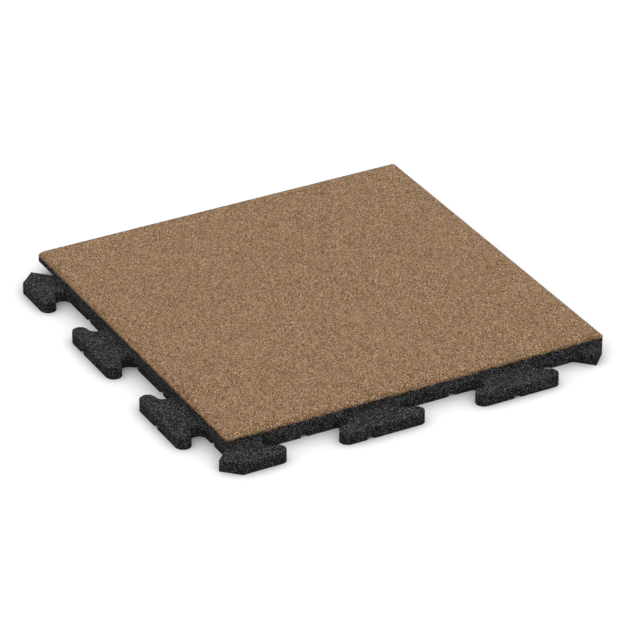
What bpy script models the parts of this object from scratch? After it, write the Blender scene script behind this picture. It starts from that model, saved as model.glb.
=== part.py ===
"""Two-layer interlocking patio tile of rubber granulate, 500 x 500 x 30 mm.

The tile lies flat on Z = 0, with its origin under the middle of its outline.
The lower half is shaped like a jigsaw piece: tabs stand out on the left (-X)
and front (-Y) sides, and matching sockets lie under the plate on the right
(+X) and back (+Y) sides. The outline turns into itself four times in a full
turn, so it is drawn once for the left side and turned for the other three.
"""

import math

import bmesh
import bpy
from mathutils import Matrix, Vector

MM = 0.001

# Laid size, height of the layers and rim
PLATE_SIDE = 500 * MM
TILE_THICKNESS = 30 * MM
WEAR_THICKNESS = 7.5 * MM
RIM_CHAMFER = 4.5 * MM
LAYER_GAP = 0.3 * MM

# Interlocking outline of the lower half
TAB_REACH = 40 * MM
TAB_HEIGHT = 15 * MM
TAB_LENGTH = 90 * MM
HOOK_RADIUS = 10 * MM
HOOK_SEGMENTS = 12

# Drainage channels in the underside
CHANNEL_PITCH = 65 * MM
CHANNEL_WIDTH = 9 * MM
CHANNEL_DEPTH = 5 * MM
CHANNELS_EACH_SIDE = 3
CHANNEL_RUNOUT = 2 * MM
CUTTER_OVERRUN = 10 * MM

# Places that follow from the sizes above
OUTER_HALF = (PLATE_SIDE + TAB_REACH) / 2
WALL_HALF = OUTER_HALF - TAB_REACH
CORNER_HALF = (OUTER_HALF + WALL_HALF) / 2
BASE_TOP = TILE_THICKNESS - WEAR_THICKNESS - LAYER_GAP
WEAR_BOTTOM = TILE_THICKNESS - WEAR_THICKNESS
QUARTER_TURN = math.pi / 2

# Channels that run out through a tab, counted in pitches from the middle
TAB_CHANNELS = (-2, 1)


def clear_scene():
    """Remove every object that the scene starts with."""
    for thing in list(bpy.data.objects):
        bpy.data.objects.remove(thing, do_unlink=True)


def make_material(name, colour, roughness):
    """Return a plain rubber material."""
    material = bpy.data.materials.new(name)
    material.use_nodes = True
    shader = material.node_tree.nodes["Principled BSDF"]
    shader.inputs["Base Color"].default_value = (*colour, 1.0)
    shader.inputs["Roughness"].default_value = roughness
    shader.inputs["Metallic"].default_value = 0.0
    return material


def add_object(name, bm):
    """Turn a bmesh into a named object in the scene."""
    bmesh.ops.recalc_face_normals(bm, faces=bm.faces)
    mesh = bpy.data.meshes.new(name)
    bm.to_mesh(mesh)
    bm.free()
    thing = bpy.data.objects.new(name, mesh)
    bpy.context.scene.collection.objects.link(thing)
    return thing


def half_circle(along, out, bulge, inwards):
    """Points of one hook's half circle, end points included.

    The circle's middle lies at (along, out) beside the wall. The half circle
    bulges along the wall by the sign of bulge, and runs towards the wall
    where inwards is true.
    """
    points = []
    for step in range(HOOK_SEGMENTS + 1):
        turn = math.pi * step / HOOK_SEGMENTS
        rise = HOOK_RADIUS * math.cos(turn) * (1 if inwards else -1)
        points.append((along + bulge * HOOK_RADIUS * math.sin(turn), out + rise))
    return points


def hook(along, leaving):
    """S-curve between the wall and a tab's face, at a place along the side.

    Leaving the wall, it undercuts the tab and then rounds the tab's head.
    Coming back, it is the mirror image of that.
    """
    neck_out = HOOK_RADIUS
    head_out = TAB_REACH - HOOK_RADIUS
    if leaving:
        neck = half_circle(along, neck_out, 1, False)
        head = half_circle(along, head_out, -1, False)
        return neck + head[1:]
    head = half_circle(along, head_out, 1, True)
    neck = half_circle(along, neck_out, -1, True)
    return head + neck[1:]


def side_outline():
    """One side of the jigsaw outline, as (along, out from the wall) points.

    It starts on the corner point, follows the wall round two whole tabs and
    up to the half tab before the next corner, whose point is left to the
    next side.
    """
    points = [(-CORNER_HALF, CORNER_HALF - WALL_HALF), (-WALL_HALF, 0.0)]
    for place in range(-2, 3):
        points += hook(place * TAB_LENGTH, leaving=place % 2 == 0)
    points.append((WALL_HALF, TAB_REACH))
    return points


def jigsaw_outline():
    """The whole outline: the left side, turned clockwise for the others."""
    points = []
    for side in range(4):
        turn = Matrix.Rotation(-side * QUARTER_TURN, 3, "Z")
        for along, out in side_outline():
            points.append(turn @ Vector((-WALL_HALF - out, along, 0.0)))
    return points


def make_prism(name, outline, bottom, top):
    """Extrude a flat outline between two heights."""
    bm = bmesh.new()
    corners = [bm.verts.new((point.x, point.y, bottom)) for point in outline]
    face = bm.faces.new(corners)
    raised = bmesh.ops.extrude_face_region(bm, geom=[face])["geom"]
    lifted = [part for part in raised if isinstance(part, bmesh.types.BMVert)]
    bmesh.ops.translate(bm, verts=lifted, vec=(0.0, 0.0, top - bottom))
    return add_object(name, bm)


def make_plate(name, bottom, top):
    """Square plate of the laid size, from the wall lines to the far sides."""
    low, high = -WALL_HALF, OUTER_HALF
    corners = [(low, low), (high, low), (high, high), (low, high)]
    outline = [Vector((x, y, 0.0)) for x, y in corners]
    return make_prism(name, outline, bottom, top)


def channel_end(place, tab_places):
    """How far a channel reaches from the middle, at one of its ends."""
    if place in tab_places:
        return OUTER_HALF + CUTTER_OVERRUN
    return WALL_HALF + CHANNEL_RUNOUT


def add_channel(bm, place, turned):
    """Add one straight channel to the grid's cutter.

    The left and the right ends meet tabs at opposite places, because the
    right side is the left side turned by half a turn.
    """
    mirrored = tuple(-tab for tab in TAB_CHANNELS)
    left = -channel_end(place, TAB_CHANNELS)
    right = channel_end(place, mirrored)
    size = (right - left, CHANNEL_WIDTH, CHANNEL_DEPTH + CUTTER_OVERRUN)
    middle = Vector(((left + right) / 2, place * CHANNEL_PITCH, CHANNEL_DEPTH - size[2] / 2))
    shape = Matrix.Translation(middle) @ Matrix.Diagonal((*size, 1.0))
    if turned:
        shape = Matrix.Rotation(QUARTER_TURN, 4, "Z") @ shape
    bmesh.ops.create_cube(bm, size=1.0, matrix=shape)


def make_channel_cutter(name, turned):
    """Cutter for the channels that run one way, and for the other if turned."""
    bm = bmesh.new()
    for place in range(-CHANNELS_EACH_SIDE, CHANNELS_EACH_SIDE + 1):
        add_channel(bm, place, turned)
    cutter = add_object(name, bm)
    cutter.hide_render = True
    cutter.display_type = "WIRE"
    return cutter


def add_boolean(thing, other, operation):
    """Join another object to a thing, or cut it away."""
    step = thing.modifiers.new(f"{operation.lower()}_{other.name}", "BOOLEAN")
    step.operation = operation
    step.solver = "EXACT"
    step.object = other
    other.hide_render = True
    other.display_type = "WIRE"


def make_base_layer():
    """Black layer: jigsaw half, slab over it and channels in its underside."""
    base = make_prism("base_layer", jigsaw_outline(), 0.0, TAB_HEIGHT)
    slab = make_plate("slab_over_tabs", TAB_HEIGHT, BASE_TOP)
    add_boolean(base, slab, "UNION")
    for turned in (False, True):
        name = "channels_across" if turned else "channels_along"
        add_boolean(base, make_channel_cutter(name, turned), "DIFFERENCE")
    base.data.materials.append(make_material("black_granulate", (0.026, 0.026, 0.028), 0.92))
    return base


def make_wear_layer():
    """Tan layer: a square plate with its top edge chamfered."""
    wear = make_plate("wear_layer", WEAR_BOTTOM, TILE_THICKNESS)
    bm = bmesh.new()
    bm.from_mesh(wear.data)
    rim = [edge for edge in bm.edges if all(v.co.z > WEAR_BOTTOM + RIM_CHAMFER / 2 for v in edge.verts)]
    bmesh.ops.bevel(
        bm,
        geom=rim,
        offset=RIM_CHAMFER,
        offset_type="OFFSET",
        segments=1,
        profile=0.5,
        affect="EDGES",
        material=-1,
    )
    bm.to_mesh(wear.data)
    bm.free()
    wear.data.materials.append(make_material("tan_granulate", (0.31, 0.21, 0.135), 0.9))
    return wear


def main():
    """Build the two layers."""
    clear_scene()
    make_base_layer()
    make_wear_layer()


main()
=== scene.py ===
"""Looks of a two-layer interlocking patio tile of pressed rubber granulate.

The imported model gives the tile's two layers as smooth solids. Here each of
them is replaced by a piece with the pressed granulate's real surface: the
solid's own faces are ruled into fine cells, the granules' relief is pressed
into them, and the line between the two layers runs ragged round the sides.
"""

import logging
import math
from dataclasses import dataclass, field
from enum import Enum

import bmesh
import bpy
from mathutils import Euler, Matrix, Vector, noise


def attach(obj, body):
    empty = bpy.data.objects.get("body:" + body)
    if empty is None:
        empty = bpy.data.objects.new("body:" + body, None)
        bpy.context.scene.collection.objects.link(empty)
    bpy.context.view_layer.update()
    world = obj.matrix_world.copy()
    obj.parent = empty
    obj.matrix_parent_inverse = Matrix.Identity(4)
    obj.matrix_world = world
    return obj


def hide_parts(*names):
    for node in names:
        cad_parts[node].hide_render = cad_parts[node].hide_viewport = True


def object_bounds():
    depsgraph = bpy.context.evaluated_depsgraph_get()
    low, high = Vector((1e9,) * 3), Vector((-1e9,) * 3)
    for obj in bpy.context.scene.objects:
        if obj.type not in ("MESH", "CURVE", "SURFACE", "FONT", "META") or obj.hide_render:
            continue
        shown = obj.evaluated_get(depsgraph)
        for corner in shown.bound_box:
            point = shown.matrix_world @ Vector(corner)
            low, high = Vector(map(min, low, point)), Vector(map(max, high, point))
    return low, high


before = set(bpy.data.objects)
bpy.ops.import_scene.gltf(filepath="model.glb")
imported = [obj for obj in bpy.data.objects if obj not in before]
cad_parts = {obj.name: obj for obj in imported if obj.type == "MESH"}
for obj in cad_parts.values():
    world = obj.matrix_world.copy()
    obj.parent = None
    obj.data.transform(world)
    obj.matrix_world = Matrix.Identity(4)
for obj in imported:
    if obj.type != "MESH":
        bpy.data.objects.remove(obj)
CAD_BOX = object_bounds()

MM = 0.001
LOG = logging.getLogger("patio_tile")

# Start of the random noise. Without one, it would follow the clock
NOISE_SEED = 7

# Short names for what meshes and materials are made of
BMesh = bmesh.types.BMesh
BMVert = bmesh.types.BMVert
BMEdge = bmesh.types.BMEdge
BMFace = bmesh.types.BMFace
Node = bpy.types.Node
Socket = bpy.types.NodeSocket
Stops = tuple[tuple[float, tuple[float, float, float]], ...]

# Heights, lengths, corners and angles that differ by less count as the same
SAME_LEVEL = 0.01 * MM
LEVEL_EDGE = 0.05 * MM
SAME_LENGTH = 0.01 * MM
SAME_CORNER = 0.001 * MM
ON_PLANE = 0.0001 * MM
FLAT_ANGLE = math.radians(0.5)

# The upward share of a face's normal from or up to which each of these holds
LOOKS_UP = 0.3
LIES_FLAT = 0.99
LOOKS_DOWN = -0.5

# Starting places of the noises, far enough apart to be unlike each other
CHIP_START = Vector((4.0, 8.0, 2.0))
WANDER_START = Vector((1.0, 9.0, 4.0))
WAVE_START = Vector((3.1, 5.7, 2.3))

# Between these strengths lies nearly all of a noise texture
NOISE_BAND = (0.3, 0.7)

# Sockets of the Mix node that carry colours
MIX_FIRST = 6
MIX_SECOND = 7
MIX_RESULT = 2

# The photograph's frame, and where its camera stands
FRAME_WIDTH_PX = 630
SENSOR_WIDTH = 36.0
FOCAL_LENGTH_PX = 4106.0
CAMERA_YAW = math.radians(-28.44)
CAMERA_PITCH = math.radians(29.40)
CAMERA_DISTANCE = 4940.9 * MM
CAMERA_TARGET = Vector((16.2 * MM, 14.4 * MM, 0.0))


class Axis(Enum):
    """The three directions in which cells are ruled."""

    X = 0
    Y = 1
    Z = 2

    @property
    def vector(self) -> Vector:
        """Unit vector along the axis."""
        return Vector([1.0 if place == self.value else 0.0 for place in range(3)])


@dataclass(frozen=True)
class CellRuler:
    """Rules a mesh's faces into square cells, with planes across one axis.

    Attributes:
        pitch: Distance between neighbouring planes.
        shift: Where the planes start, so that none lies on a flat wall.
    """

    pitch: float
    shift: float = 0.37

    def planes(self, low: float, high: float) -> list[float]:
        """Places of the planes between two ends.

        Args:
            low: Lower end of the stretch.
            high: Upper end of the stretch.

        Returns:
            The places, from low to high.
        """
        first = math.ceil(low / self.pitch - self.shift)
        last = math.floor(high / self.pitch - self.shift)
        return [(place + self.shift) * self.pitch for place in range(first, last + 1)]

    def rule(self, bm: BMesh, faces: list[BMFace], axis: Axis) -> list[BMFace]:
        """Cut faces by every plane across an axis.

        Args:
            bm: The mesh that the faces belong to.
            faces: The faces to cut. The rest of the mesh only gets the new
                corners on the edges that it shares with them.
            axis: The direction that the planes are square to.

        Returns:
            The faces that the cut ones have become.
        """
        if not faces:
            return faces
        places = [vert.co[axis.value] for face in faces for vert in face.verts]
        return self._halve(bm, faces, axis, self.planes(min(places), max(places)))

    def _halve(
        self,
        bm: BMesh,
        faces: list[BMFace],
        axis: Axis,
        planes: list[float],
    ) -> list[BMFace]:
        """Cut at the middle plane, then both halves by the planes left.

        Args:
            bm: The mesh that the faces belong to.
            faces: The faces that the planes cross.
            axis: The direction that the planes are square to.
            planes: The planes' places, from low to high.

        Returns:
            The faces after all the cuts.
        """
        if not planes or not faces:
            return faces
        middle = len(planes) // 2
        at = planes[middle]
        edges = dict.fromkeys(edge for face in faces for edge in face.edges)
        verts = dict.fromkeys(vert for face in faces for vert in face.verts)
        cut = bmesh.ops.bisect_plane(
            bm,
            geom=[*verts, *edges, *faces],
            dist=ON_PLANE,
            plane_co=axis.vector * at,
            plane_no=axis.vector,
        )
        low, high = [], []
        for part in cut["geom"]:
            if isinstance(part, BMFace):
                side = low if part.calc_center_median()[axis.value] < at else high
                side.append(part)
        low = self._halve(bm, low, axis, planes[:middle])
        high = self._halve(bm, high, axis, planes[middle + 1:])
        return low + high


@dataclass(frozen=True)
class GranuleRelief:
    """How the granules stand out of a pressed surface.

    The mould's flat wall is the outermost level, and everything else lies
    behind it, so a pressed piece never grows past its solid.

    Attributes:
        granule: Size of one granule.
        depth: Depth of the hollows between granules.
        crumble: How far an open edge is worn back here and there.
        drift: How far a corner of a cell may wander along the surface.
        crisp_below: Height under which the open edges stay as moulded.
        softness: How strongly the upper edges are smoothed.
        sharp: Cosine of the angle from which two faces make an edge.
        hollows: Mean depth of the hollows and its spread, as shares.
        chips: Mean depth of the worn places and its spread, as shares.
        chip_length: Length of a worn place, in granules.
        wander_length: Length over which the drift turns, in granules.
    """

    granule: float
    depth: float
    crumble: float
    drift: float
    crisp_below: float = 0.0
    softness: float = 0.3
    sharp: float = 0.94
    hollows: tuple[float, float] = (0.5, 0.8)
    chips: tuple[float, float] = (0.3, 2.0)
    chip_length: float = 1.6
    wander_length: float = 0.7

    def press(self, bm: BMesh, verts: list[BMVert]) -> None:
        """Soften the upper edges and press the relief into a mesh.

        Args:
            bm: The mesh.
            verts: The corners that may move.
        """
        sharp = {vert for vert in verts if self._is_sharp(vert)}
        upper = {vert for vert in sharp if vert.co.z > self.crisp_below and self._looks_up(vert)}
        softened = self._with_neighbours(upper)
        bmesh.ops.smooth_vert(
            bm,
            verts=[vert for vert in verts if vert in softened],
            factor=self.softness,
            use_axis_x=True,
            use_axis_y=True,
            use_axis_z=True,
        )
        bm.normal_update()
        moves = []
        for vert in verts:
            if vert in upper:
                moves.append((vert, self._crumbled(vert)))
            elif vert not in sharp:
                moves.append((vert, self._pressed(vert)))
        for vert, move in moves:
            vert.co += move

    def _with_neighbours(self, verts: set[BMVert]) -> set[BMVert]:
        """Some corners of cells with the next ones all round.

        Args:
            verts: The corners.

        Returns:
            All of them.
        """
        return verts | {edge.other_vert(vert) for vert in verts for edge in vert.link_edges}

    def _is_sharp(self, vert: BMVert) -> bool:
        """Whether a corner of a cell lies on an edge of the solid.

        Args:
            vert: The corner.

        Returns:
            True if two of its faces look about 20 degrees apart or more.
        """
        first, *others = (face.normal for face in vert.link_faces)
        return any(first.dot(other) < self.sharp for other in others)

    def _looks_up(self, vert: BMVert) -> bool:
        """Whether one of the faces at a corner looks upwards.

        Args:
            vert: The corner.

        Returns:
            True if there is such a face.
        """
        return any(face.normal.z > LOOKS_UP for face in vert.link_faces)

    def _hollow(self, vert: BMVert) -> float:
        """How deep the surface lies at a corner of a cell.

        Args:
            vert: The corner.

        Returns:
            The depth.
        """
        mean, spread = self.hollows
        share = mean + spread * noise.noise(vert.co / self.granule)
        return self.depth * min(max(share, 0.0), 1.0)

    def _crumbled(self, vert: BMVert) -> Vector:
        """Where a corner on an upper edge goes, worn back by the mould.

        Args:
            vert: The corner.

        Returns:
            The way it moves.
        """
        mean, spread = self.chips
        place = vert.co / (self.granule * self.chip_length) + CHIP_START
        chip = mean + spread * noise.noise(place)
        return -vert.normal * (self._hollow(vert) + self.crumble * max(chip, 0.0))

    def _pressed(self, vert: BMVert) -> Vector:
        """Where a corner on an open face goes.

        Args:
            vert: The corner.

        Returns:
            The way it moves.
        """
        place = vert.co / (self.granule * self.wander_length) + WANDER_START
        wander = noise.noise_vector(place)
        wander -= vert.normal * wander.dot(vert.normal)
        return wander * self.drift - vert.normal * self._hollow(vert)


@dataclass(frozen=True)
class LayerLine:
    """The ragged line round the sides where the two granulates meet.

    Attributes:
        height: The line's mean height.
        waves: Pairs of a wave's length and its depth, up and down.
        step_length: Length of one granule along the line.
        step_depth: How far single granules stand over or under the line.
        crack: Space left between the two layers.
    """

    height: float = 22.05 * MM
    waves: tuple[tuple[float, float], ...] = ((9.0 * MM, 2.1 * MM), (3.2 * MM, 1.2 * MM))
    step_length: float = 2.4 * MM
    step_depth: float = 0.35 * MM
    crack: float = 0.02 * MM

    def at(self, place: Vector) -> float:
        """Height of the line at a place.

        Args:
            place: A point on the tile's side.

        Returns:
            The height over the floor.
        """
        total = self.height
        for order, (length, depth) in enumerate(self.waves):
            point = Vector((place.x, place.y, 0.0)) / length + WAVE_START * (order + 1)
            total += noise.noise(point) * depth
        granule = noise.cell(Vector((place.x, place.y, 0.0)) / self.step_length)
        return total + granule * self.step_depth


def cad_copy(node: str) -> BMesh:
    """Copy a solid's mesh, with its loose triangles merged.

    Args:
        node: Name of the solid's node.

    Returns:
        The closed mesh. Its edges that only divide a flat face are marked
        as seams.
    """
    bm = bmesh.new()
    bm.from_mesh(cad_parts[node].data)
    bmesh.ops.remove_doubles(bm, verts=bm.verts, dist=SAME_CORNER)
    bm.normal_update()
    for edge in bm.edges:
        edge.seam = len(edge.link_faces) == 2 and edge.calc_face_angle(math.pi) < FLAT_ANGLE
    return bm


def drop_seams(bm: BMesh) -> None:
    """Dissolve the marked edges that only divide a flat face.

    Args:
        bm: The mesh.
    """
    seams = [edge for edge in bm.edges if edge.seam]
    bmesh.ops.dissolve_edges(bm, edges=seams, use_verts=True, use_face_split=False)


def finish_piece(
    bm: BMesh,
    name: str,
    node: str,
    material: bpy.types.Material,
) -> bpy.types.Object:
    """Turn a mesh into a dressed piece that stands for a solid.

    Args:
        bm: The finished mesh, which is freed.
        name: Name of the piece.
        node: The solid that it stands for.
        material: Its finish.

    Returns:
        The piece.
    """
    low, high = (Vector(corner) for corner in CAD_BOX)
    for vert in bm.verts:
        sides = zip(vert.co, low, high)
        vert.co = Vector(min(max(place, least), most) for place, least, most in sides)
    mesh = bpy.data.meshes.new(name)
    bm.to_mesh(mesh)
    bm.free()
    mesh.shade_smooth()
    mesh.materials.append(material)
    piece = bpy.data.objects.new(name, mesh)
    bpy.context.scene.collection.objects.link(piece)
    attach(piece, "root")
    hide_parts(node)
    return piece


class NodeBoard:
    """A material's or a world's nodes, added one after another."""

    def __init__(self, tree: bpy.types.NodeTree) -> None:
        """Start on a tree.

        Args:
            tree: The tree that the nodes go into.
        """
        self.tree = tree

    def add(self, kind: str, **values: object) -> Node:
        """Add a node.

        Args:
            kind: The node's type.
            **values: Its settings, by name.

        Returns:
            The node.
        """
        node = self.tree.nodes.new(kind)
        for name, value in values.items():
            setattr(node, name, value)
        return node

    def feed(self, socket: Socket, value: object) -> None:
        """Set a socket to a value, or link another socket to it.

        Args:
            socket: The input.
            value: A number, a colour or an output socket.
        """
        if isinstance(value, Socket):
            self.tree.links.new(value, socket)
        else:
            socket.default_value = value

    def math(self, operation: str, first: object, second: object = 0.0) -> Socket:
        """Work out one sum.

        Args:
            operation: The sum's name.
            first: First number or socket.
            second: Second number or socket.

        Returns:
            The result's socket.
        """
        node = self.add("ShaderNodeMath", operation=operation)
        self.feed(node.inputs[0], first)
        self.feed(node.inputs[1], second)
        return node.outputs[0]

    def spread(
        self,
        value: object,
        low: float,
        high: float,
        to_low: float,
        to_high: float,
    ) -> Socket:
        """Map one range of numbers to another, clamped.

        Args:
            value: The number's socket.
            low: Start of its range.
            high: End of its range.
            to_low: Result at the start.
            to_high: Result at the end.

        Returns:
            The result's socket.
        """
        node = self.add("ShaderNodeMapRange", clamp=True)
        for socket, number in zip(node.inputs, (value, low, high, to_low, to_high)):
            self.feed(socket, number)
        return node.outputs[0]

    def ramp(self, value: object, stops: Stops) -> Socket:
        """Colour a number by a row of stops.

        Args:
            value: The number's socket.
            stops: Places from 0 to 1, each with its colour.

        Returns:
            The colour's socket.
        """
        node = self.add("ShaderNodeValToRGB")
        ramp = node.color_ramp
        while len(ramp.elements) < len(stops):
            ramp.elements.new(1.0)
        for element, (place, colour) in zip(ramp.elements, stops):
            element.position = place
            element.color = (*colour, 1.0)
        self.feed(node.inputs[0], value)
        return node.outputs[0]

    def blend(
        self,
        factor: object,
        first: object,
        second: object,
        mode: str = "MIX",
    ) -> Socket:
        """Blend two colours.

        Args:
            factor: How much of the second colour shows.
            first: First colour.
            second: Second colour.
            mode: How they are blended.

        Returns:
            The colour's socket.
        """
        node = self.add("ShaderNodeMix", data_type="RGBA", blend_type=mode)
        self.feed(node.inputs["Factor"], factor)
        self.feed(node.inputs[MIX_FIRST], first)
        self.feed(node.inputs[MIX_SECOND], second)
        return node.outputs[MIX_RESULT]


@dataclass(frozen=True)
class GranulateFinish:
    """Colour and relief of bonded rubber granules.

    Attributes:
        name: Name of the material.
        granule: Size of the main granules.
        stops: The granules' colours, each with its place in their spread.
        crevice: How dark the gaps between granules are, from 0, black.
        mottle: How much the colour drifts over some centimetres.
        roughness: Lowest and highest roughness.
        specular: Strength of the gloss.
        bump: Height of the granules' domes.
        painted_shade_height: Height up to which painted shade darkens the walls towards the
            floor.
        painted_shade_at_floor: How dark that painted shade is at the floor, from 0, black.
        small: How many times smaller the small granules are.
        small_share: How much of the small granules' colours shows.
        crevice_width: Width of the dark gaps, in granules.
        drift_size: Size of the spots over which the colour drifts.
        drift_detail: How many finer octaves the drift has.
        grit_size: Size of the grit, in granules.
        grit_detail: How many finer octaves the grit has.
        stir: Swirls for each granule's length that stir the granules, and
            their reach in granules.
        stir_detail: How many finer octaves the swirls have.
        domes: Heights of the main and of the small granules' domes.
        groove: Width and depth of the grooves between granules.
        grit_height: Height of the grit.
    """

    name: str
    granule: float
    stops: Stops
    crevice: float
    mottle: float
    roughness: tuple[float, float]
    specular: float
    bump: float
    painted_shade_height: float = 0.0
    painted_shade_at_floor: float = 1.0
    small: float = 1.9
    small_share: float = 0.18
    crevice_width: float = 0.14
    drift_size: float = 9.0 * MM
    drift_detail: float = 3.0
    grit_size: float = 0.35
    grit_detail: float = 2.0
    stir: tuple[float, float] = (0.6, 0.9)
    stir_detail: float = 2.0
    domes: tuple[float, float] = (0.5, 0.3)
    groove: tuple[float, float] = (0.12, 0.25)
    grit_height: float = 0.25

    def material(self) -> bpy.types.Material:
        """Make the material.

        Returns:
            The material, read from Object coordinates.
        """
        material = bpy.data.materials.new(self.name)
        material.use_nodes = True
        board = NodeBoard(material.node_tree)
        shader = material.node_tree.nodes["Principled BSDF"]
        shader.inputs["Metallic"].default_value = 0.0
        shader.inputs["Specular IOR Level"].default_value = self.specular
        place = self._unsettled_place(board)
        coarse = self._cells(board, place, 1.0)
        fine = self._cells(board, place, self.small)
        gaps = board.add("ShaderNodeTexVoronoi", feature="DISTANCE_TO_EDGE")
        board.feed(gaps.inputs["Vector"], place)
        gaps.inputs["Scale"].default_value = 1.0 / self.granule
        board.feed(shader.inputs["Base Color"], self._colour(board, coarse, fine, gaps))
        grit = self._noise(board, place, self.granule * self.grit_size, self.grit_detail)
        roughness = board.spread(grit, *NOISE_BAND, *self.roughness)
        board.feed(shader.inputs["Roughness"], roughness)
        board.feed(shader.inputs["Normal"], self._bump(board, coarse, fine, gaps, grit))
        return material

    def _unsettled_place(self, board: NodeBoard) -> Socket:
        """Object coordinates, stirred a little so that no granule is regular.

        Args:
            board: The material's nodes.

        Returns:
            The coordinates' socket.
        """
        scale, reach = self.stir
        place = board.add("ShaderNodeTexCoord").outputs["Object"]
        stir = board.add("ShaderNodeTexNoise", noise_dimensions="3D")
        board.feed(stir.inputs["Vector"], place)
        stir.inputs["Scale"].default_value = scale / self.granule
        stir.inputs["Detail"].default_value = self.stir_detail
        centred = board.add("ShaderNodeVectorMath", operation="SUBTRACT")
        board.feed(centred.inputs[0], stir.outputs["Color"])
        centred.inputs[1].default_value = (0.5, 0.5, 0.5)
        scaled = board.add("ShaderNodeVectorMath", operation="SCALE")
        board.feed(scaled.inputs[0], centred.outputs[0])
        scaled.inputs["Scale"].default_value = self.granule * reach
        moved = board.add("ShaderNodeVectorMath", operation="ADD")
        board.feed(moved.inputs[0], place)
        board.feed(moved.inputs[1], scaled.outputs[0])
        return moved.outputs[0]

    def _cells(self, board: NodeBoard, place: Socket, finer: float) -> Node:
        """Cells of one size of granule.

        Args:
            board: The material's nodes.
            place: The coordinates.
            finer: How many times smaller than the main granules they are.

        Returns:
            The texture's node.
        """
        cells = board.add("ShaderNodeTexVoronoi", feature="F1")
        board.feed(cells.inputs["Vector"], place)
        cells.inputs["Scale"].default_value = finer / self.granule
        return cells

    def _noise(
        self,
        board: NodeBoard,
        place: Socket,
        size: float,
        detail: float,
    ) -> Socket:
        """A soft noise.

        Args:
            board: The material's nodes.
            place: The coordinates.
            size: Size of its largest spots.
            detail: How many finer octaves it has.

        Returns:
            The socket of its strength.
        """
        spots = board.add("ShaderNodeTexNoise", noise_dimensions="3D")
        board.feed(spots.inputs["Vector"], place)
        spots.inputs["Scale"].default_value = 1.0 / size
        spots.inputs["Detail"].default_value = detail
        return spots.outputs[0]

    def _colour(
        self,
        board: NodeBoard,
        coarse: Node,
        fine: Node,
        gaps: Node,
    ) -> Socket:
        """Each granule's own colour, darker in the gaps, with painted shade towards the floor
        where that is set.

        Args:
            board: The material's nodes.
            coarse: The main granules.
            fine: The small granules.
            gaps: Distance to the main granules' edges.

        Returns:
            The colour's socket.
        """
        colours = []
        for cells in (coarse, fine):
            pick = board.add("ShaderNodeSeparateColor")
            board.feed(pick.inputs[0], cells.outputs["Color"])
            colours.append(board.ramp(pick.outputs[0], self.stops))
        colour = board.blend(self.small_share, *colours)
        gap = gaps.outputs["Distance"]
        shade = board.spread(gap, 0.0, self.crevice_width, self.crevice, 1.0)
        colour = board.blend(1.0, colour, shade, "MULTIPLY")
        place = board.add("ShaderNodeTexCoord").outputs["Object"]
        drift = self._noise(board, place, self.drift_size, self.drift_detail)
        tone = board.spread(drift, *NOISE_BAND, 1.0 - self.mottle, 1.0 + self.mottle)
        colour = board.blend(1.0, colour, tone, "MULTIPLY")
        # Painted shade: the colour darkens towards the floor, standing in for the shade near it.
        if not self.painted_shade_height:
            return colour
        height = board.add("ShaderNodeSeparateXYZ")
        board.feed(height.inputs[0], place)
        painted_foot_shade = board.spread(height.outputs["Z"], 0.0, self.painted_shade_height, self.painted_shade_at_floor, 1.0)
        return board.blend(1.0, colour, painted_foot_shade, "MULTIPLY")

    def _bump(
        self,
        board: NodeBoard,
        coarse: Node,
        fine: Node,
        gaps: Node,
        grit: Socket,
    ) -> Socket:
        """The granules' domes, the gaps between them and their grit.

        Args:
            board: The material's nodes.
            coarse: The main granules.
            fine: The small granules.
            gaps: Distance to the main granules' edges.
            grit: The finest noise.

        Returns:
            The socket of the surface's direction.
        """
        domes = []
        for cells, rise in zip((coarse, fine), self.domes):
            inwards = board.math("SUBTRACT", 1.0, cells.outputs["Distance"])
            domes.append(board.math("MULTIPLY", inwards, rise))
        width, depth = self.groove
        groove = board.spread(gaps.outputs["Distance"], 0.0, width, -depth, 0.0)
        rough = board.math("MULTIPLY", grit, self.grit_height)
        height = board.math("ADD", board.math("ADD", *domes), board.math("ADD", groove, rough))
        bump = board.add("ShaderNodeBump")
        bump.inputs["Strength"].default_value = 1.0
        bump.inputs["Distance"].default_value = self.bump
        board.feed(bump.inputs["Height"], height)
        return bump.outputs[0]


TAN_GRANULATE = GranulateFinish(
    name="tan_granulate",
    granule=0.7 * MM,
    stops=(
        (0.0, (0.009, 0.002, 0.0)),
        (0.35, (0.078, 0.034, 0.009)),
        (0.6, (0.28, 0.149, 0.048)),
        (1.0, (0.725, 0.508, 0.354)),
    ),
    crevice=0.55,
    mottle=0.05,
    roughness=(0.85, 0.97),
    specular=0.2,
    bump=0.3 * MM,
)

BLACK_GRANULATE = GranulateFinish(
    name="black_granulate",
    granule=0.76 * MM,
    stops=(
        (0.0, (0.0004, 0.0004, 0.0004)),
        (0.35, (0.003, 0.003, 0.003)),
        (0.75, (0.02, 0.0195, 0.0195)),
        (1.0, (0.254, 0.247, 0.248)),
    ),
    crevice=0.35,
    mottle=0.15,
    roughness=(0.8, 1.0),
    specular=0.06,
    bump=0.24 * MM,
    # Painted shade: the black walls darken towards the floor.
    painted_shade_height=15.0 * MM,
    painted_shade_at_floor=0.68,
)


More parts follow.
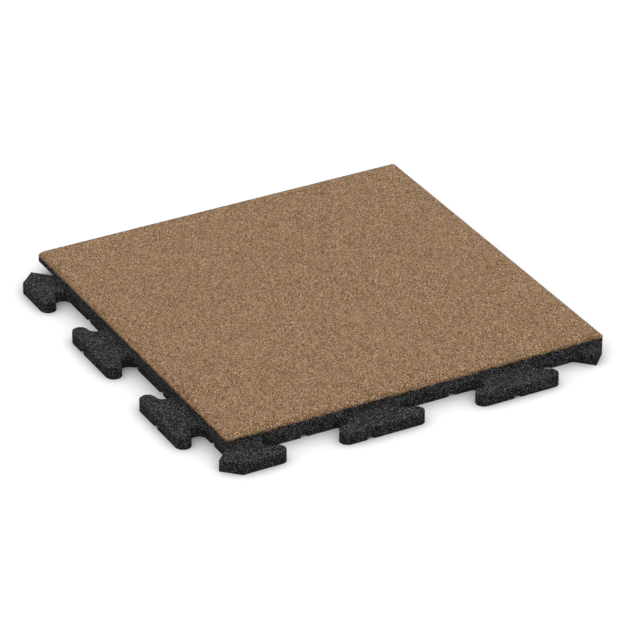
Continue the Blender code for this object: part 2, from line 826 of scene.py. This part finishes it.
@dataclass
class WearLayer:
    """The tan upper layer: a square plate with a chamfered rim.

    Attributes:
        node: The solid that it stands for.
        surface_cell: Size of the walking face's cells.
        rim_cell: Size of the cells of the chamfer and the sides, downwards.
        seat: Width of the strip of the underside that follows the line.
        line: The line where it meets the base.
        relief: The granules' relief.
        finish: Its material.
    """

    node: str = "wear_layer"
    surface_cell: float = 2.4 * MM
    rim_cell: float = 1.0 * MM
    seat: float = 4.0 * MM
    line: LayerLine = field(default_factory=LayerLine)
    relief: GranuleRelief = GranuleRelief(
        granule=2.0 * MM,
        depth=0.09 * MM,
        crumble=0.3 * MM,
        drift=0.4 * MM,
        crisp_below=26.0 * MM,
        softness=0.5,
    )
    finish: GranulateFinish = TAN_GRANULATE

    def build(self) -> bpy.types.Object:
        """Model and dress the layer.

        Returns:
            The piece.
        """
        bm = cad_copy(self.node)
        drop_seams(bm)
        low = min(vert.co.z for vert in bm.verts)
        under = [face for face in bm.faces if face.normal.z < LOOKS_DOWN]
        bmesh.ops.delete(bm, geom=under, context="FACES_ONLY")
        self._cut_rim(bm)
        level = [edge for edge in bm.edges if is_level(edge)]
        across = round(max(edge.calc_length() for edge in level) / self.surface_cell) - 1
        bmesh.ops.subdivide_edges(bm, edges=level, cuts=across, use_grid_fill=True)
        sides = [face for face in bm.faces if face.normal.z < LIES_FLAT]
        rim = dict.fromkeys(edge for face in sides for edge in face.edges if is_level(edge))
        bmesh.ops.subdivide_edges(bm, edges=list(rim), cuts=1, use_grid_fill=True)
        bm.normal_update()
        self.relief.press(bm, [vert for vert in bm.verts if vert.co.z > low + SAME_LEVEL])
        follow_line(bm, low, self.seat, self.line, self.line.crack)
        material = self.finish.material()
        return finish_piece(bm, "wear_layer_granulate", self.node, material)

    def _cut_rim(self, bm: BMesh) -> None:
        """Cut the chamfer and the sides into rows of cells.

        Args:
            bm: The plate's mesh, with one face for each of its flat faces.
        """
        falling = [edge for edge in bm.edges if not is_level(edge)]
        for height in sorted({round(edge.calc_length(), 6) for edge in falling}):
            rows = max(round(height / self.rim_cell), 1)
            falling = [edge for edge in bm.edges if not is_level(edge)]
            row = [edge for edge in falling if abs(edge.calc_length() - height) < SAME_LENGTH]
            bmesh.ops.subdivide_edges(bm, edges=row, cuts=rows - 1, use_grid_fill=True)


def is_level(edge: BMEdge) -> bool:
    """Whether an edge runs level.

    Args:
        edge: The edge.

    Returns:
        True if both ends are at one height.
    """
    return abs(edge.verts[0].co.z - edge.verts[1].co.z) < LEVEL_EDGE


def follow_line(bm: BMesh, flat: float, seat: float, line: LayerLine, over: float) -> None:
    """Let the rim of a layer's hidden flat face follow the ragged line.

    Args:
        bm: The layer's mesh. Its hidden face may be open.
        flat: Height of the hidden face.
        seat: Width of the strip between the rim and the part that stays flat.
        line: The line.
        over: How far over the line the rim lies.
    """
    sides = list(bm.faces)
    open_edges = [edge for edge in bm.edges if edge.is_boundary]
    hidden = bmesh.ops.holes_fill(bm, edges=open_edges, sides=0)["faces"]
    bmesh.ops.recalc_face_normals(bm, faces=bm.faces)
    bmesh.ops.inset_region(bm, faces=hidden, thickness=seat, use_even_offset=True)
    corners = dict.fromkeys(vert for face in sides for vert in face.verts)
    rim = [vert for vert in corners if abs(vert.co.z - flat) < SAME_LEVEL]
    for vert in rim:
        vert.co.z = line.at(vert.co) + over


@dataclass
class BaseLayer:
    """The black lower layer, with its tabs, sockets and channels.

    Attributes:
        node: The solid that it stands for.
        cells: Cells of the underside. The tabs and the outer walls get
            cells of half their size.
        shown_from: How far from the middle the tabs and walls start.
        seat: Width of the strip of the top that follows the line.
        line: The line where it meets the wear layer.
        relief: The granules' relief.
        finish: Its material.
    """

    node: str = "base_layer"
    cells: CellRuler = CellRuler(4.0 * MM)
    shown_from: float = 228.5 * MM
    seat: float = 4.0 * MM
    line: LayerLine = field(default_factory=LayerLine)
    relief: GranuleRelief = GranuleRelief(
        granule=2.4 * MM,
        depth=0.3 * MM,
        crumble=0.3 * MM,
        drift=0.45 * MM,
        crisp_below=6.0 * MM,
    )
    finish: GranulateFinish = BLACK_GRANULATE

    def build(self) -> bpy.types.Object:
        """Model and dress the layer.

        Returns:
            The piece.
        """
        bm = cad_copy(self.node)
        flat = max(vert.co.z for vert in bm.verts)
        top = flat - SAME_LEVEL
        hidden = [face for face in bm.faces if face.calc_center_median().z > top]
        bmesh.ops.delete(bm, geom=hidden, context="FACES")
        for axis in Axis:
            self.cells.rule(bm, list(bm.faces), axis)
        drop_seams(bm)
        self._halve_shown_cells(bm)
        bm.normal_update()
        self.relief.press(bm, [vert for vert in bm.verts if vert.co.z < top])
        follow_line(bm, flat, self.seat, self.line, -self.line.crack)
        material = self.finish.material()
        return finish_piece(bm, "base_layer_granulate", self.node, material)

    def _halve_shown_cells(self, bm: BMesh) -> None:
        """Give the tabs and the outer walls cells of half the size.

        Args:
            bm: The layer's ruled mesh.
        """
        shown = []
        for face in bm.faces:
            middle = face.calc_center_median()
            if max(abs(middle.x), abs(middle.y)) > self.shown_from:
                shown.append(face)
        edges = dict.fromkeys(edge for face in shown for edge in face.edges)
        odd = [face for face in shown if len(face.verts) > 4]
        pieces = bmesh.ops.triangulate(bm, faces=odd, quad_method="BEAUTY", ngon_method="BEAUTY")
        edges.update(dict.fromkeys(pieces["edges"]))
        bmesh.ops.subdivide_edges(bm, edges=list(edges), cuts=1, use_grid_fill=True)


@dataclass
class Studio:
    """White floor, soft light from all round the sky, and the camera.

    Attributes:
        floor_side: Side of the square floor.
        floor_white: How much light the floor gives back.
        painted_shade_reach: How far round the tile the painted shade in the floor's colour goes.
        painted_shade_depth: How dark that painted shade is, from 0, none.
        painted_shade_samples: How many rays feel for the tile for the painted shade.
        sky: Strength of the light from above.
        bounce: Strength of the light from below.
        horizon: Half the width of the band where one turns into the other.
        front_light: Strength of the soft lamp in front.
        front_height: How high that lamp stands over the floor.
        front_spread: How wide that lamp looks.
        sight: How far the camera sees.
    """

    floor_side: float = 40.0
    floor_white: float = 0.85
    painted_shade_reach: float = 76.0 * MM
    painted_shade_depth: float = 0.5
    painted_shade_samples: int = 16
    sky: float = 1.32
    bounce: float = 0.17
    horizon: float = 0.02
    front_light: float = 0.5
    front_height: float = math.radians(30.0)
    front_spread: float = math.radians(60.0)
    sight: float = 100.0

    def build(self) -> None:
        """Set up floor, light and camera."""
        self._floor()
        self._sky()
        self._front_lamp()
        self._camera()
        bpy.context.scene.view_settings.view_transform = "Standard"

    def _floor(self) -> None:
        """Lay the floor, whose colour is darkened by painted shade that deepens towards the
        tile.
        """
        bm = bmesh.new()
        bmesh.ops.create_grid(bm, x_segments=1, y_segments=1, size=self.floor_side / 2)
        mesh = bpy.data.meshes.new("studio_floor")
        bm.to_mesh(mesh)
        bm.free()
        material = bpy.data.materials.new("studio_white_painted_shade")
        material.use_nodes = True
        board = NodeBoard(material.node_tree)
        shader = material.node_tree.nodes["Principled BSDF"]
        shader.inputs["Roughness"].default_value = 1.0
        shader.inputs["Specular IOR Level"].default_value = 0.0
        # Painted shade: the floor's colour darkens by ambient occlusion where the tile is near.
        painted_shade_ao = board.add("ShaderNodeAmbientOcclusion", samples=self.painted_shade_samples)
        painted_shade_ao.inputs["Distance"].default_value = self.painted_shade_reach
        shade = board.math("POWER", painted_shade_ao.outputs["AO"], self.painted_shade_depth)
        board.feed(shader.inputs["Base Color"], board.math("MULTIPLY", shade, self.floor_white))
        mesh.materials.append(material)
        floor = bpy.data.objects.new("studio_floor", mesh)
        floor.visible_diffuse = False
        floor.visible_glossy = False
        bpy.context.scene.collection.objects.link(floor)

    def _sky(self) -> None:
        """Light the tile evenly from above, and weakly from below."""
        world = bpy.data.worlds.new("studio_sky")
        world.use_nodes = True
        board = NodeBoard(world.node_tree)
        background = world.node_tree.nodes["Background"]
        background.inputs["Color"].default_value = (1.0, 1.0, 1.0, 1.0)
        split = board.add("ShaderNodeSeparateXYZ")
        board.feed(split.inputs[0], board.add("ShaderNodeTexCoord").outputs["Generated"])
        band = (-self.horizon, self.horizon)
        strength = board.spread(split.outputs["Z"], *band, self.bounce, self.sky)
        board.feed(background.inputs["Strength"], strength)
        bpy.context.scene.world = world

    def _front_lamp(self) -> None:
        """Stand the soft lamp in front of the tile."""
        lamp = bpy.data.lights.new("soft_front", "SUN")
        lamp.angle = self.front_spread
        lamp.energy = self.front_light
        stand = bpy.data.objects.new("soft_front", lamp)
        stand.rotation_euler = Euler((math.pi / 2 - self.front_height, 0.0, 0.0))
        bpy.context.scene.collection.objects.link(stand)

    def _camera(self) -> None:
        """Stand the camera where the photograph was taken."""
        lens = bpy.data.cameras.new("photo_camera")
        lens.sensor_width = SENSOR_WIDTH
        lens.lens = FOCAL_LENGTH_PX / FRAME_WIDTH_PX * SENSOR_WIDTH
        lens.clip_end = self.sight
        camera = bpy.data.objects.new("photo_camera", lens)
        camera.rotation_euler = Euler((math.pi / 2 - CAMERA_PITCH, 0.0, CAMERA_YAW))
        back = camera.rotation_euler.to_matrix() @ Vector((0.0, 0.0, 1.0))
        camera.location = CAMERA_TARGET + back * CAMERA_DISTANCE
        bpy.context.scene.collection.objects.link(camera)
        bpy.context.scene.camera = camera


def main() -> None:
    """Build the two layers and the studio, and report each piece."""
    logging.basicConfig(level=logging.INFO, format="%(message)s")
    noise.seed_set(NOISE_SEED)
    for layer in (BaseLayer(), WearLayer()):
        piece = layer.build()
        LOG.info("%s: %d faces", piece.name, len(piece.data.polygons))
    Studio().build()


if __name__ == "__main__":
    main()
